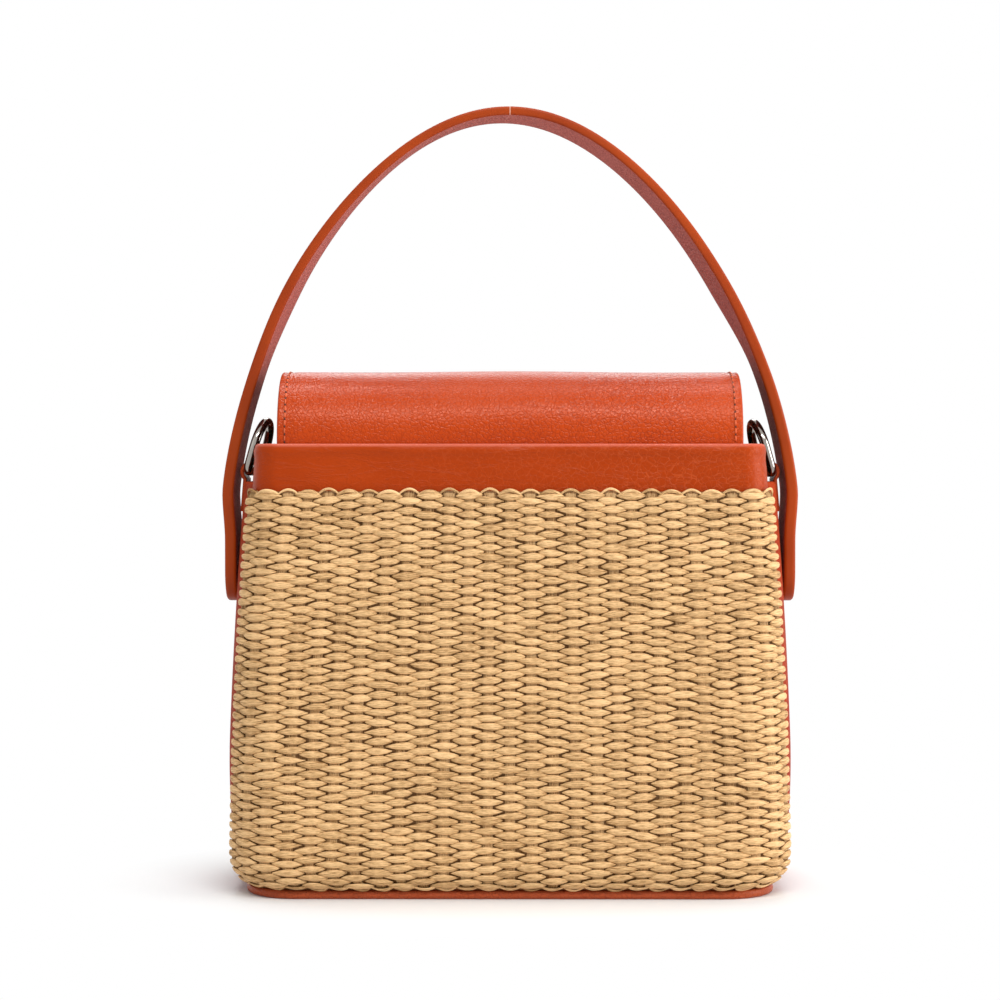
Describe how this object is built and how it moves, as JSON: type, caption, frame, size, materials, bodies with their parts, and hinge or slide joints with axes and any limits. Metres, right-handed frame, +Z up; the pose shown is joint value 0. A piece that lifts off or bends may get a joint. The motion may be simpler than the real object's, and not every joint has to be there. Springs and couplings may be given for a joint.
{
  "type": "raffia handbag",
  "caption": "Small structured handbag with woven raffia walls, leather body, stitched leather flap, upright strap handle and a metal strap ring on each side.",
  "frame": {"origin": "centre of the base's flat underside", "axes": "+X along the bag's width, +Y to the front where the flap closes, +Z up"},
  "size_m": [0.224, 0.0982, 0.303],
  "materials": {
    "leather": "pebbled, semi-gloss",
    "raffia": "woven, matte",
    "lining_cloth": "matte",
    "board": "matte",
    "metal": "polished"
  },
  "bodies": {
    "body": {"base": "leather", "base_board": "board", "rear_wall": "leather", "front_wall": "leather", "left_gusset": "leather", "right_gusset": "leather", "rear_weave": "raffia", "front_weave": "raffia", "lining": "lining_cloth", "flap_root": "leather", "snap_socket": "metal", "left_rivet": "metal", "right_rivet": "metal", "left_rivet_cap": "metal", "right_rivet_cap": "metal", "left_ring_tab": "leather", "right_ring_tab": "leather"},
    "flap": {"flap": "leather", "flap_lining": "leather", "snap_stud": "metal"},
    "handle": {"handle": "leather"},
    "left_ring": {"left_ring": "metal"},
    "right_ring": {"right_ring": "metal"}
  },
  "joints": [
    {"name": "flap_hinge", "type": "hinge", "parent": "body", "child": "flap", "pos_m": [0, -0.036, 0.1724], "axis": [1, 0, 0], "range_deg": [0, 19]},
    {"name": "handle_swing", "type": "hinge", "parent": "body", "child": "handle", "pos_m": [0, 0, 0.1225], "axis": [1, 0, 0], "range_deg": [-88, 88]},
    {"name": "left_ring_swing", "type": "hinge", "parent": "body", "child": "left_ring", "pos_m": [-0.1011, 0, 0.16114], "axis": [0.1042, 0.9945, -0.0087], "range_deg": [-12, 70]},
    {"name": "right_ring_swing", "type": "hinge", "parent": "body", "child": "right_ring", "pos_m": [0.1011, 0, 0.16114], "axis": [0.1042, -0.9945, 0.0087], "range_deg": [-12, 70]}
  ]
}
